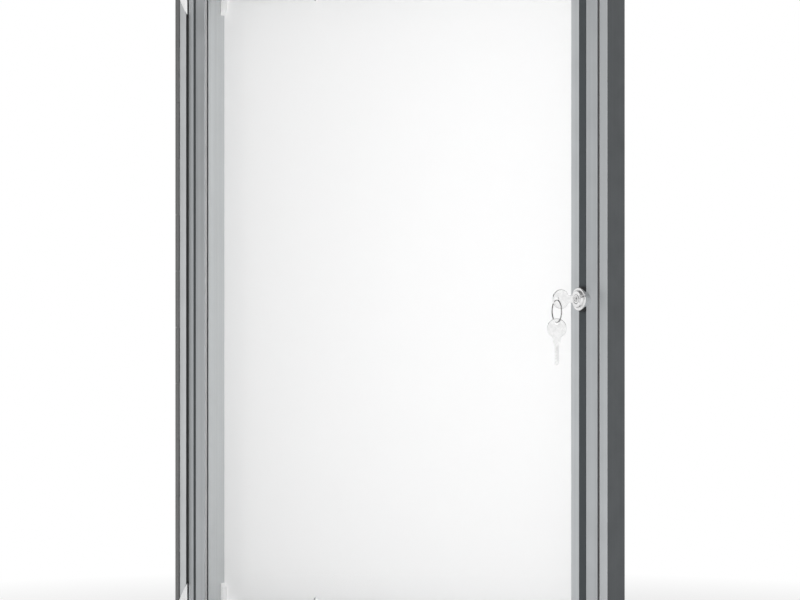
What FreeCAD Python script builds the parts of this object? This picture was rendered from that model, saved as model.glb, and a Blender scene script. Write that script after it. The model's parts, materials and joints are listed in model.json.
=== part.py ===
"""Lockable notice board: a glazed case for a wall, with a hinged door, a cam lock and two keys.

The frame is +Z up with the front facing -Y. The origin is the middle of the rear face, on the wall.
A section is drawn in two distances, "inset" from the case's outer edge and "depth" from the wall.
All sizes are in millimetres.
"""

import FreeCAD, Part
import math
import os

from FreeCAD import Vector

# Overall size, from a sheet count of two by two A4
board_width = 500.0
board_height = 674.0

# Case profile
case_depth = 29.7
case_wall = 1.6
lip_width = 8.2
hinge_lip_width = 6.4
floor_height = 8.0
panel_thickness = 2.0
sheet_thickness = 0.8
panel_edge_cover = 8.0
panel_edge_gap = 0.4

# Door profile, whose face rises to a ridge and falls to the glass
door_gap = 2.2
door_wall = 1.6
face_width = 9.7
face_rise = 4.1
strip_width = 5.4
strip_rise = 3.05
bead_width = 9.7
bead_fall = 1.86
bead_lip = 1.6
door_body_depth = 14.3
back_chamfer_width = 2.2
back_chamfer_height = 5.0

# Glass and what it is bedded on
glass_thickness = 3.0
glass_edge_gap = 1.1
gasket_thickness = 2.0
tape_thickness = 1.2
rim_front_gap = 0.8
rim_side_gap = 2.0

# Weather seal on the front lip
seal_base_width = 2.6
seal_base_thickness = 1.2
seal_bulb_width = 1.6
seal_bulb_height = 3.0
seal_bulb_setback = 0.6

# Continuous hinge on the left
barrel_radius = 2.6
barrel_clearance = 0.2
pin_radius = 1.25
pin_clearance = 0.05
leaf_thickness = 1.0
leaf_lip_gap = 0.3
leaf_reach = 8.2
leaf_flange_depth = 10.3
packing_setback = 0.4
case_leaf_thickness = 1.2
case_leaf_back = 6.0
knuckle_count = 11
knuckle_gap = 0.2
knuckle_swing_clearance = 0.22
hinge_rivet_count = 8
rivet_end_distance = 22.0
hinge_rivet_radius = 1.5
hinge_rivet_head_radius = 3.0
hinge_rivet_head_height = 0.8
hinge_rivet_tail_radius = 2.25
door_rivet_setback = 7.3
case_rivet_depth = 12.0

# Slanted ends of the hinge and of the corner caps
slant_reach = 54.7
slant_reference_inset = 8.5
slant_slope = 1.8
slant_gap = 0.5

# White corner caps
cap_wall = 1.6
cap_front = 1.7
cap_back = 0.6
cap_flat_width = 6.8
cap_edge_width = 8.8
cap_edge_thickness = 0.3

# Clips in the inner corners
clip_thickness = 3.2
clip_height = 6.2
clip_arm = 17.0
clip_end_slant = 4.9

# Corner keys inside the mitred profiles
key_play = 0.4
case_key_arm = 60.0
case_key_width = 18.0
door_key_arm = 50.0
door_key_width = 14.0

# Screws that hold the rear panel, and the wall fixings
panel_screw_radius = 1.45
panel_screw_head_radius = 2.75
panel_screw_head_height = 1.3
panel_screw_length = 7.5
panel_screw_clearance = 0.05
panel_screws_on_long_side = 4
panel_screws_on_short_side = 3
panel_screw_end_distance = 70.0
wall_hole_radius = 2.75
wall_hole_side_distance = 150.0
wall_hole_end_distance = 44.5

# Cam lock, whose axis leans towards the middle of the board
lock_lean = 22.0
lock_edge_distance = 1.0
seat_cover = 0.75
flange_radius = 10.5
flange_thickness = 1.4
flange_pocket_gap = 0.4
collar_radius = 8.0
collar_height = 2.2
collar_taper = 0.5
barrel_of_lock_radius = 5.0
barrel_hole_gap = 0.15
plug_radius = 3.5
plug_clearance = 0.05
nut_radius = 6.4
nut_thickness = 1.6
nut_slot_width = 1.2
nut_slot_depth = 0.6
washer_play = 0.05
thread_play = 0.03
cam_thickness = 1.5
cam_gap = 0.2
cam_length = 13.9
cam_width = 8.0
cam_tip_width = 5.0
cam_tip_length = 2.0
cam_hub_radius = 4.8
cam_slot_gap = 0.6
cam_screw_radius = 1.3
cam_screw_head_radius = 4.4
cam_screw_head_height = 1.5
cam_screw_depth = 4.0
cam_screw_end_gap = 0.3
cam_screw_slot_width = 0.9
cam_screw_slot_depth = 0.7
seat_side_cover = 0.5
cone_edge_cover = 0.9
cone_height = 8.6
cone_wall = 0.65

# Keys and their ring
bow_radius = 8.75
key_thickness = 2.0
key_shoulder_width = 6.8
key_shoulder_length = 4.2
blade_width = 4.1
blade_length = 20.0
blade_tip_length = 1.8
blade_plain_length = 3.2
tooth_depth = 1.1
shallow_tooth_share = 0.55
tooth_count = 5
groove_width = 1.0
groove_depth = 0.5
groove_height = 0.6
bow_hole_radius = 1.8
bow_hole_offset = 4.3
key_bow_distance = 16.7
keyway_gap = 0.2
wafer_count = 5
wafer_thickness = 0.9
wafer_width = 5.0
wafer_slot_gap = 0.1
wafer_pitch = 2.2
first_wafer_depth = 2.6
ring_wire_radius = 0.65
ring_radius = 10.0
ring_rest_gap = 0.3
ring_lean = 32.0
spare_key_turn = 30.6

# How far a cutting shape stands past what it cuts
past = 1.0

# Places that follow from the sizes above
half_width = board_width / 2
half_height = board_height / 2
back_thickness = panel_thickness + sheet_thickness
door_side = lip_width + door_gap
door_back = case_depth - door_body_depth
strip_start = door_side + face_width
bead_start = strip_start + strip_width
frame_width = bead_start + bead_width
face_top = case_depth + face_rise
ridge = face_top + strip_rise
bead_edge = ridge - bead_fall
gasket_front = bead_edge - bead_lip
glass_front = gasket_front - gasket_thickness
glass_back = glass_front - glass_thickness
ledge = glass_back - tape_thickness
rim_top = glass_back - rim_front_gap
ledge_end = frame_width - case_wall - rim_side_gap
glass_edge = bead_start + door_wall + glass_edge_gap
panel_edge = frame_width - panel_edge_cover + panel_edge_gap
axis_inset = -(barrel_radius + barrel_clearance)
axis_depth = case_depth + leaf_lip_gap + leaf_thickness / 2
leaf_flange_back = case_depth - leaf_flange_depth
door_rivet_depth = case_depth - door_rivet_setback
wall_hole_spacing_x = board_width - 2 * wall_hole_side_distance
wall_hole_spacing_z = board_height - 2 * wall_hole_end_distance
lean = math.radians(lock_lean)
lock_inset = bead_start - lock_edge_distance
lock_depth = ridge + seat_cover + math.tan(lean) * lock_edge_distance
seat_half_height = flange_radius + seat_side_cover


def along_side(inset, depth, side, along):
    """The point at an inset and a depth on one side of the case, at a place along that side."""
    if side == "right":
        return Vector(half_width - inset, -depth, along)
    if side == "left":
        return Vector(inset - half_width, -depth, along)
    if side == "top":
        return Vector(along, -depth, half_height - inset)
    return Vector(along, -depth, inset - half_height)


def half_length(side):
    """Half the outer length of a side."""
    return half_height if side in ("left", "right") else half_width


def closed_wire(points):
    """A closed wire through the points."""
    return Part.makePolygon(points + [points[0]])


def mitred_bar(section, side):
    """A bar of the section along one side, its ends cut at 45 degrees in the corners."""
    reach = half_length(side)
    first = [along_side(p, d, side, -(reach - p)) for p, d in section]
    last = [along_side(p, d, side, reach - p) for p, d in section]
    faces = [Part.Face(closed_wire(first)), Part.Face(closed_wire(last))]
    for index in range(len(section)):
        before = index - 1
        outline = [first[before], first[index], last[index], last[before]]
        faces.append(Part.Face(closed_wire(outline)))
    shell = Part.Shell(faces)
    shell.sewShape()
    return positive(Part.Solid(shell))


def straight_bar(section, side, start, end):
    """A bar of the section along one side, with square ends."""
    first = [along_side(p, d, side, start) for p, d in section]
    face = Part.Face(closed_wire(first))
    travel = along_side(0, 0, side, end) - along_side(0, 0, side, start)
    return positive(face.extrude(travel))


def positive(shape):
    """The same shape with its faces pointing outwards."""
    if shape.Volume < 0:
        shape = shape.reversed()
    return shape


def ring_of(section):
    """One closed ring of the section round all four sides."""
    bars = [mitred_bar(section, side) for side in ("left", "right", "top", "bottom")]
    return bars[0].multiFuse(bars[1:]).removeSplitter()


def rectangle(inset_a, inset_b, depth_a, depth_b):
    """A rectangular section between two insets and two depths."""
    return [(inset_a, depth_a), (inset_b, depth_a), (inset_b, depth_b), (inset_a, depth_b)]


def corner_prism(outline, depth_a, depth_b, corner):
    """A prism whose outline is given in insets from the two outer edges that meet in a corner."""
    sign_x, sign_z = corner
    points = [
        Vector(sign_x * (half_width - across), -depth_a, sign_z * (half_height - up))
        for across, up in outline
    ]
    face = Part.Face(closed_wire(points))
    return positive(face.extrude(Vector(0, depth_a - depth_b, 0)))


corners = [(-1, -1), (1, -1), (-1, 1), (1, 1)]


def angle_outline(inset, width, arm):
    """The outline of a flat angle piece, from an inset, with arms that end at the distance arm."""
    inner = inset + width
    return [(inset, inset), (arm, inset), (arm, inner), (inner, inner), (inner, arm), (inset, arm)]


def slanted_end(inset):
    """Distance from the corner at which the hinge ends, at an inset from the outer edge."""
    return slant_reach - slant_slope * (slant_reference_inset - inset)


def hinge_reach(inset):
    """Half the length of the hinge at an inset."""
    return half_height - slanted_end(inset)


def rod(start, direction, length, radius):
    """A cylinder from a point along a direction."""
    return Part.makeCylinder(radius, length, start, direction)


def spread(count, half_span):
    """Evenly spaced places from minus half_span to plus half_span."""
    step = 2 * half_span / (count - 1)
    return [index * step - half_span for index in range(count)]


# Case

def case_section(lip):
    """The outer line of a case profile whose front lip has the given width."""
    return [
        (0, 0),
        (0, case_depth),
        (lip, case_depth),
        (lip, case_depth - case_wall),
        (case_wall, case_depth - case_wall),
        (case_wall, floor_height),
        (frame_width - case_wall, floor_height),
        (frame_width - case_wall, rim_top),
        (frame_width, rim_top),
        (frame_width, back_thickness),
        (frame_width - panel_edge_cover, back_thickness),
        (frame_width - panel_edge_cover, 0),
    ]


def case_hollow():
    """The line of the closed chamber inside a case profile."""
    rebate_wall = frame_width - panel_edge_cover - case_wall
    return [
        (case_wall, case_wall),
        (case_wall, floor_height - case_wall),
        (frame_width - case_wall, floor_height - case_wall),
        (frame_width - case_wall, back_thickness + case_wall),
        (rebate_wall, back_thickness + case_wall),
        (rebate_wall, case_wall),
    ]


def panel_screw_places():
    """Side and place along it of each screw through the rear panel."""
    places = []
    for side in ("left", "right"):
        half_span = half_height - panel_screw_end_distance
        places += [(side, along) for along in spread(panel_screws_on_long_side, half_span)]
    for side in ("top", "bottom"):
        half_span = half_width - panel_screw_end_distance
        places += [(side, along) for along in spread(panel_screws_on_short_side, half_span)]
    return places


panel_screw_inset = frame_width - panel_edge_cover / 2


def panel_screw(side, along, extra):
    """A countersunk screw from behind, made larger by extra for its hole."""
    start = along_side(panel_screw_inset, 0, side, along)
    front = Vector(0, -1, 0)
    shank = rod(start, front, panel_screw_length, panel_screw_radius + extra)
    head = Part.makeCone(
        panel_screw_head_radius + extra,
        panel_screw_radius + extra,
        panel_screw_head_height,
        start,
        front,
    )
    return shank.fuse(head).removeSplitter()


def case_rivet_places():
    """Places of the hinge rivets along the left side."""
    half_span = hinge_reach(0) - rivet_end_distance
    return spread(hinge_rivet_count, half_span)


def make_case_bar(side):
    """One mitred case profile with its screw holes."""
    lip = hinge_lip_width if side == "left" else lip_width
    bar = mitred_bar(case_section(lip), side).cut(mitred_bar(case_hollow(), side))
    for screw_side, along in panel_screw_places():
        if screw_side == side:
            bar = bar.cut(panel_screw(side, along, panel_screw_clearance))
    if side == "left":
        for along in case_rivet_places():
            start = along_side(-past, case_rivet_depth, side, along)
            hole = rod(start, Vector(1, 0, 0), case_wall + 2 * past, hinge_rivet_radius)
            bar = bar.cut(hole)
    return bar


def make_case_corner_keys():
    """Angle pieces inside the case profiles."""
    start = case_wall + key_play
    outline = angle_outline(start, case_key_width, case_key_arm)
    low = case_wall + key_play / 2
    high = floor_height - case_wall - key_play / 2
    return [corner_prism(outline, low, high, corner) for corner in corners]


def make_corner_caps():
    """White caps over the outer corners, with slanted ends."""
    front = case_depth + cap_front
    section = [
        (-cap_wall, cap_back),
        (-cap_wall, front),
        (cap_flat_width, front),
        (cap_edge_width, case_depth + cap_edge_thickness),
        (cap_edge_width, case_depth),
        (0, case_depth),
        (0, cap_back),
    ]
    far = -cap_wall - past
    near = cap_edge_width + past
    outline = [
        (far, far),
        (slanted_end(far) - slant_gap, far),
        (slanted_end(near) - slant_gap, near),
        (near, near),
        (near, slanted_end(near) - slant_gap),
        (far, slanted_end(far) - slant_gap),
    ]
    ring = ring_of(section)
    return [
        ring.common(corner_prism(outline, -past, front + past, corner)) for corner in corners
    ]


def make_board_corner_clips():
    """Moulded clips that hold the board sheet in the inner corners."""
    near = frame_width
    proud = frame_width + clip_thickness
    reach = proud + clip_arm
    outline = [
        (near, near),
        (reach, near),
        (reach - clip_end_slant, proud),
        (proud, proud),
        (proud, reach - clip_end_slant),
        (near, reach),
    ]
    high = back_thickness + clip_height
    return [corner_prism(outline, back_thickness, high, corner) for corner in corners]


def wall_holes(solid):
    """The solid with the four holes for the wall screws."""
    for sign_x, sign_z in corners:
        start = Vector(sign_x * wall_hole_spacing_x / 2, past, sign_z * wall_hole_spacing_z / 2)
        length = back_thickness + 2 * past
        solid = solid.cut(rod(start, Vector(0, -1, 0), length, wall_hole_radius))
    return solid


def back_plate(depth_a, depth_b):
    """A flat plate that fills the rebate of the case between two depths."""
    corner = Vector(panel_edge - half_width, -depth_b, panel_edge - half_height)
    plate = Part.makeBox(
        board_width - 2 * panel_edge, depth_b - depth_a, board_height - 2 * panel_edge, corner
    )
    plate = wall_holes(plate)
    for side, along in panel_screw_places():
        plate = plate.cut(panel_screw(side, along, panel_screw_clearance))
    return plate


def make_weather_seal():
    """Black seal on the front lip, along the top, the bottom and the lock side."""
    under = case_depth - case_wall
    bulb_top = case_depth - seal_bulb_setback
    section = [
        (lip_width - seal_base_width, under - seal_base_thickness),
        (lip_width - seal_base_width, under),
        (lip_width, under),
        (lip_width, bulb_top),
        (lip_width + seal_bulb_width, bulb_top),
        (lip_width + seal_bulb_width, bulb_top - seal_bulb_height),
        (lip_width, bulb_top - seal_bulb_height),
        (lip_width, under - seal_base_thickness),
    ]
    bars = [mitred_bar(section, side) for side in ("right", "top", "bottom")]
    seal = bars[0].multiFuse(bars[1:]).removeSplitter()
    hinge_side = Part.makeBox(
        door_side + past,
        case_depth + 2 * past,
        board_height + 2 * past,
        Vector(-half_width, -case_depth - past, -half_height - past),
    )
    return seal.cut(hinge_side)


# Hinge

def slant_trim(solid):
    """The solid with its two ends cut to the slanted line of the hinge."""
    far = axis_inset - barrel_radius - past
    near = door_side + past
    points = [
        along_side(far, 0, "left", hinge_reach(far)),
        along_side(near, 0, "left", hinge_reach(near)),
        along_side(near, 0, "left", -hinge_reach(near)),
        along_side(far, 0, "left", -hinge_reach(far)),
    ]
    keep = positive(Part.Face(closed_wire(points)).extrude(Vector(0, -2 * case_depth, 0)))
    return solid.common(keep)


longest_reach = hinge_reach(axis_inset - barrel_radius)
knuckle_pitch = 2 * longest_reach / knuckle_count


def knuckle_zone(index):
    """Start and end of one knuckle along the hinge."""
    start = index * knuckle_pitch - longest_reach
    return start, start + knuckle_pitch


def hinge_cylinder(start, end, radius):
    """A cylinder on the hinge axis."""
    base = along_side(axis_inset, axis_depth, "left", start)
    return rod(base, Vector(0, 0, 1), end - start, radius)


def knuckled_leaf(leaf, first):
    """The leaf with every other knuckle, from the given one, and room for the rest."""
    for index in range(knuckle_count):
        start, end = knuckle_zone(index)
        if index % 2 != first:
            room = barrel_radius + knuckle_swing_clearance
            low = start - knuckle_gap / 2
            high = end + knuckle_gap / 2
            leaf = leaf.cut(hinge_cylinder(low, high, room))
    for index in range(first, knuckle_count, 2):
        start, end = knuckle_zone(index)
        low = start + knuckle_gap / 2
        high = end - knuckle_gap / 2
        leaf = leaf.fuse(hinge_cylinder(low, high, barrel_radius))
    end = longest_reach + past
    bore = hinge_cylinder(-end, end, pin_radius + pin_clearance)
    return slant_trim(leaf.cut(bore).removeSplitter())


def make_hinge_case_leaf():
    """Fixed leaf on the outer side of the case, with the outermost knuckles."""
    section = rectangle(-case_leaf_thickness, 0, case_leaf_back, case_depth)
    leaf = straight_bar(section, "left", -longest_reach, longest_reach)
    leaf = knuckled_leaf(leaf, 0)
    for along in case_rivet_places():
        start = along_side(-case_leaf_thickness - past, case_rivet_depth, "left", along)
        length = case_leaf_thickness + 2 * past
        hole = rod(start, Vector(1, 0, 0), length, hinge_rivet_radius)
        leaf = leaf.cut(hole)
    return leaf


flange_reach = hinge_reach(cap_edge_width) - slant_gap


def door_rivet_places():
    """Places of the rivets along the flange of the door leaf."""
    return spread(hinge_rivet_count, flange_reach - rivet_end_distance)


def make_hinge_door_leaf():
    """Moving leaf over the lip of the case, whose flange goes down beside the door profile."""
    low = case_depth + leaf_lip_gap
    top = low + leaf_thickness
    cover = rectangle(axis_inset + barrel_radius / 2, leaf_reach, low, top)
    flange = rectangle(leaf_reach - leaf_thickness, leaf_reach, leaf_flange_back, top)
    leaf = straight_bar(cover, "left", -longest_reach, longest_reach)
    leaf = leaf.fuse(straight_bar(flange, "left", -flange_reach, flange_reach))
    leaf = knuckled_leaf(leaf, 1)
    for along in door_rivet_places():
        start = along_side(leaf_reach - leaf_thickness - past, door_rivet_depth, "left", along)
        length = leaf_thickness + 2 * past
        leaf = leaf.cut(rod(start, Vector(1, 0, 0), length, hinge_rivet_radius))
    return leaf


def make_hinge_packing():
    """Black strip between the flange of the hinge and the door profile."""
    section = rectangle(leaf_reach, door_side, leaf_flange_back, case_depth - packing_setback)
    strip = straight_bar(section, "left", -flange_reach, flange_reach)
    for along in door_rivet_places():
        start = along_side(leaf_reach - past, door_rivet_depth, "left", along)
        length = door_side - leaf_reach + 2 * past
        strip = strip.cut(rod(start, Vector(1, 0, 0), length, hinge_rivet_radius))
    return strip


def make_hinge_pin():
    """The wire on which both leaves turn."""
    return slant_trim(hinge_cylinder(-longest_reach, longest_reach, pin_radius))


def rivet(head_inset, depth, along, grip):
    """A rivet through the left side, its head at head_inset and its tail beyond the grip."""
    head_start = along_side(head_inset - hinge_rivet_head_height, depth, "left", along)
    inward = Vector(1, 0, 0)
    head = rod(head_start, inward, hinge_rivet_head_height, hinge_rivet_head_radius)
    tail_length = hinge_rivet_head_height
    shank_start = along_side(head_inset, depth, "left", along)
    shank = rod(shank_start, inward, grip + tail_length, hinge_rivet_radius)
    tail_start = along_side(head_inset + grip, depth, "left", along)
    tail = rod(tail_start, inward, tail_length, hinge_rivet_tail_radius)
    return head.fuse([shank, tail]).removeSplitter()


def make_case_rivets():
    """Rivets of the fixed leaf."""
    grip = case_leaf_thickness + case_wall
    return [rivet(-case_leaf_thickness, case_rivet_depth, z, grip) for z in case_rivet_places()]


def make_door_rivets():
    """Rivets of the moving leaf."""
    start = leaf_reach - leaf_thickness
    grip = door_side + door_wall - start
    return [rivet(start, door_rivet_depth, z, grip) for z in door_rivet_places()]


# Door

door_section = [
    (door_side, door_back),
    (door_side, case_depth),
    (strip_start, face_top),
    (strip_start, ledge),
    (ledge_end, ledge),
    (ledge_end, door_back + back_chamfer_height),
    (ledge_end - back_chamfer_width, door_back),
]

face_slope = face_rise / face_width
slanted_wall = door_wall * math.hypot(1, face_slope)
chamfer_slope = back_chamfer_width / back_chamfer_height
chamfer_wall = door_wall * math.hypot(1, chamfer_slope)


def face_depth(inset):
    """Depth of the sloping face of the door at an inset."""
    return case_depth + face_slope * (inset - door_side)


def chamfer_inset(depth):
    """Inset of the inner face of the chamfered wall of the door at a depth."""
    return ledge_end - back_chamfer_width - chamfer_wall + chamfer_slope * (depth - door_back)


def chamfer_depth(inset):
    """Depth of the inner face of the chamfered wall of the door at an inset."""
    return door_back + (inset - ledge_end + back_chamfer_width + chamfer_wall) / chamfer_slope


door_hollow = [
    (door_side + door_wall, door_back + door_wall),
    (door_side + door_wall, face_depth(door_side + door_wall) - slanted_wall),
    (strip_start - door_wall, face_depth(strip_start - door_wall) - slanted_wall),
    (strip_start - door_wall, ledge - door_wall),
    (ledge_end - door_wall, ledge - door_wall),
    (ledge_end - door_wall, chamfer_depth(ledge_end - door_wall)),
    (chamfer_inset(door_back + door_wall), door_back + door_wall),
]

strip_section = [
    (strip_start, ledge),
    (strip_start, face_top),
    (bead_start, ridge),
    (bead_start, ledge),
]

bead_section = [
    (bead_start, ledge),
    (bead_start, ridge),
    (frame_width, bead_edge),
    (frame_width, gasket_front),
    (bead_start + door_wall, gasket_front),
    (bead_start + door_wall, ledge),
]


# The lock has its own frame: X across the board, Y up and Z out along the lock's axis

lock_across = Vector(math.cos(lean), -math.sin(lean), 0)
lock_out = Vector(-math.sin(lean), -math.cos(lean), 0)
upwards = Vector(0, 0, 1)
lock_origin = along_side(lock_inset, lock_depth, "right", 0)


def axes_placement(origin, x_axis, y_axis, z_axis):
    """The placement that puts a local frame on the given axes."""
    matrix = FreeCAD.Matrix(
        x_axis.x, y_axis.x, z_axis.x, origin.x,
        x_axis.y, y_axis.y, z_axis.y, origin.y,
        x_axis.z, y_axis.z, z_axis.z, origin.z,
        0, 0, 0, 1,
    )
    return FreeCAD.Placement(matrix)


lock_frame = axes_placement(lock_origin, lock_across, upwards, lock_out)


def in_lock_frame(shape):
    """The shape moved from the lock's own frame to its place on the door."""
    shape.Placement = lock_frame.multiply(shape.Placement)
    return shape


def disc(radius, low, high):
    """A cylinder on the lock's own axis between two heights."""
    return Part.makeCylinder(radius, high - low, Vector(0, 0, low))


def brick(size_x, size_y, low, high, centre_x=0.0, centre_y=0.0):
    """A box round the lock's own axis between two heights."""
    corner = Vector(centre_x - size_x / 2, centre_y - size_y / 2, low)
    return Part.makeBox(size_x, size_y, high - low, corner)


collar_front = flange_thickness + collar_height
ledge_wall_back = ledge - door_wall
nut_high = -(
    lock_depth + math.sin(lean) * nut_radius - ledge_wall_back
) / math.cos(lean)
nut_low = nut_high - nut_thickness
cam_high = nut_low - cam_gap
cam_low = cam_high - cam_thickness


def lock_barrel_hole():
    """The hole through the door profile for the barrel of the lock."""
    radius = barrel_of_lock_radius + barrel_hole_gap
    return in_lock_frame(disc(radius, nut_low, flange_thickness))


def flange_pocket():
    """The room that the flange needs above its seat."""
    return in_lock_frame(disc(flange_radius + flange_pocket_gap, 0, 3 * collar_front))


def seat_plane_depth(inset):
    """Depth of the plane on which the flange sits, at an inset."""
    return lock_depth - math.tan(lean) * (inset - lock_inset)


def make_lock_seat():
    """Two black blocks on the dark strip, above and below the barrel, up to the flange."""
    section = [
        (strip_start, face_top),
        (bead_start, ridge),
        (bead_start, seat_plane_depth(bead_start)),
        (strip_start, seat_plane_depth(strip_start)),
    ]
    seat = straight_bar(section, "right", -seat_half_height, seat_half_height)
    return seat.cut(lock_barrel_hole())


def make_lock_cone():
    """Cone round the barrel, which carries the flange where the face of the door falls away."""
    base_radius = barrel_of_lock_radius + barrel_hole_gap + cone_wall
    top_radius = flange_radius - cone_edge_cover
    base = Vector(0, 0, -cone_height)
    cone = in_lock_frame(Part.makeCone(base_radius, top_radius, cone_height, base))
    before_face = [
        (door_side, case_depth),
        (strip_start, face_top),
        (strip_start, seat_plane_depth(door_side)),
        (door_side, seat_plane_depth(door_side)),
    ]
    keep = straight_bar(before_face, "right", -flange_radius, flange_radius)
    return cone.common(keep).cut(lock_barrel_hole())


def make_lock_body():
    """Chromed body with flange, collar and barrel."""
    collar = Part.makeCone(
        collar_radius, collar_radius - collar_taper, collar_height, Vector(0, 0, flange_thickness)
    )
    body = disc(flange_radius, 0, flange_thickness).fuse(
        [collar, disc(barrel_of_lock_radius, nut_low, 0)]
    )
    bore = disc(plug_radius + plug_clearance, nut_low - past, collar_front + past)
    body = body.cut(bore)
    return in_lock_frame(body.removeSplitter())


def make_lock_washer():
    """Wedge washer between the inner wall of the profile and the nut."""
    washer = in_lock_frame(disc(nut_radius, nut_high, 0))
    hole = disc(barrel_of_lock_radius + washer_play, nut_low, past)
    washer = washer.cut(in_lock_frame(hole))
    keep = straight_bar(
        rectangle(door_side, ledge_end, door_back, ledge_wall_back),
        "right",
        -2 * nut_radius,
        2 * nut_radius,
    )
    return washer.common(keep)


def make_lock_nut():
    """Round nut with two slots."""
    hole = disc(barrel_of_lock_radius + thread_play, nut_low - past, nut_high + past)
    slot = brick(nut_slot_width, 4 * nut_radius, nut_low - past, nut_low + nut_slot_depth)
    return in_lock_frame(disc(nut_radius, nut_low, nut_high).cut(hole).cut(slot))


keyway_height = blade_width + 2 * keyway_gap
keyway_width = key_thickness + 2 * keyway_gap
shoulder_end = bow_radius + key_shoulder_length
key_tip = collar_front + key_bow_distance - shoulder_end - blade_length
keyway_floor = key_tip - keyway_gap


def wafer_levels():
    """Lowest level of each wafer in the plug."""
    first = collar_front - first_wafer_depth - wafer_thickness
    return [first - index * wafer_pitch for index in range(wafer_count)]


def make_lock_plug():
    """The part of the lock that turns, with keyway and wafer slots."""
    plug = disc(plug_radius, cam_low, collar_front)
    keyway = brick(keyway_width, keyway_height, keyway_floor, collar_front + past)
    plug = plug.cut(keyway)
    for level in wafer_levels():
        low = level - wafer_slot_gap
        high = level + wafer_thickness + wafer_slot_gap
        plug = plug.cut(brick(wafer_width + 2 * wafer_slot_gap, 3 * plug_radius, low, high))
    thread = disc(cam_screw_radius, cam_low - past, cam_low + cam_screw_depth)
    return in_lock_frame(plug.cut(thread))


def make_lock_wafers():
    """Thin plates in the plug, each with a window for the key."""
    wafers = []
    for level in wafer_levels():
        top = level + wafer_thickness
        wafer = disc(plug_radius - wafer_slot_gap, level, top)
        wafer = wafer.common(brick(wafer_width, 3 * plug_radius, level, top))
        wafer = wafer.cut(brick(keyway_width, keyway_height, level - past, top + past))
        wafers.append(in_lock_frame(wafer))
    return wafers


def make_lock_cam():
    """Flat cam, which points down while the lock is open."""
    arm_length = cam_length - cam_tip_length
    hub = disc(cam_hub_radius, cam_low, cam_high)
    arm = brick(cam_width, arm_length, cam_low, cam_high, 0, -arm_length / 2)
    tip = brick(cam_tip_width, cam_length, cam_low, cam_high, 0, -cam_length / 2)
    cam = hub.fuse([arm, tip]).removeSplitter()
    hole = disc(plug_radius + thread_play, cam_low - past, cam_high + past)
    return in_lock_frame(cam.cut(hole))


def make_cam_screw():
    """Screw behind the cam."""
    head_back = cam_low - cam_screw_head_height
    head = disc(cam_screw_head_radius, head_back, cam_low)
    shank_end = cam_low + cam_screw_depth - cam_screw_end_gap
    shank = disc(cam_screw_radius - thread_play, cam_low, shank_end)
    screw = head.fuse(shank).removeSplitter()
    slot_floor = head_back + cam_screw_slot_depth
    slot_length = 3 * cam_screw_head_radius
    slot = brick(cam_screw_slot_width, slot_length, head_back - past, slot_floor)
    return in_lock_frame(screw.cut(slot))


def cam_slot():
    """The slot in the side of the door profile through which the cam turns outwards."""
    wall_middle = door_side + door_wall / 2
    middle = (cam_low + cam_high) / 2
    axis_at_cam = lock_inset + math.sin(lean) * middle
    depth_at_cam = lock_depth + math.cos(lean) * middle
    across = axis_at_cam - wall_middle
    depth = depth_at_cam + across * math.tan(lean)
    half = cam_thickness / 2 / math.cos(lean) + door_wall / 2 * math.tan(lean) + cam_slot_gap
    inner = door_side + door_wall + cam_slot_gap
    section = rectangle(door_side - past, inner, depth - half, depth + half)
    sweep = math.sqrt(cam_length**2 - (across / math.cos(lean)) ** 2) + cam_width / 2
    return straight_bar(section, "right", -sweep, cam_width / 2 + cam_slot_gap)


def make_door_bar(side):
    """One mitred door profile."""
    bar = mitred_bar(door_section, side).cut(mitred_bar(door_hollow, side))
    if side == "right":
        bar = bar.cut(lock_barrel_hole()).cut(cam_slot())
    if side == "left":
        for along in door_rivet_places():
            start = along_side(door_side - past, door_rivet_depth, side, along)
            length = door_wall + 2 * past
            bar = bar.cut(rod(start, Vector(1, 0, 0), length, hinge_rivet_radius))
    return bar


def make_bead(side):
    """One mitred glazing bead."""
    bead = mitred_bar(bead_section, side)
    if side == "right":
        bead = bead.cut(lock_barrel_hole()).cut(flange_pocket())
    return bead


def make_frame_strips():
    """Dark rubber strips between the door profiles and the beads."""
    strips = [mitred_bar(strip_section, side) for side in ("left", "top", "bottom")]
    return strips + [mitred_bar(strip_section, "right").cut(lock_barrel_hole())]


def make_door_corner_keys():
    """Angle pieces inside the door profiles."""
    start = door_side + door_wall + key_play
    outline = angle_outline(start, door_key_width, door_side + door_key_arm)
    low = door_back + door_wall + key_play
    high = ledge - door_wall - key_play
    return [corner_prism(outline, low, high, corner) for corner in corners]


def make_door_glass():
    """The pane."""
    corner = Vector(glass_edge - half_width, -glass_front, glass_edge - half_height)
    return Part.makeBox(
        board_width - 2 * glass_edge, glass_thickness, board_height - 2 * glass_edge, corner
    )


# Keys: X is across the flat of the key, Y its width and Z points from the blade to the bow

def blade_outline(tip):
    """The outline of the blade, with its teeth on one edge."""
    half = blade_width / 2
    back = -shoulder_end
    toothed_length = blade_length - blade_tip_length - blade_plain_length
    pitch = toothed_length / tooth_count
    outline = [
        Vector(0, half, back),
        Vector(0, half, tip + blade_tip_length),
        Vector(0, 0, tip),
        Vector(0, tooth_depth - half, tip),
    ]
    for index in range(tooth_count):
        start = tip + blade_tip_length + index * pitch
        share = 1 if index % 2 else shallow_tooth_share
        floor = share * tooth_depth - half
        outline.append(Vector(0, -half, start))
        outline.append(Vector(0, -half, start + 0.3 * pitch))
        outline.append(Vector(0, floor, start + 0.55 * pitch))
        outline.append(Vector(0, floor, start + 0.75 * pitch))
    outline.append(Vector(0, -half, tip + blade_length - blade_plain_length))
    outline.append(Vector(0, -half, back))
    return outline


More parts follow.
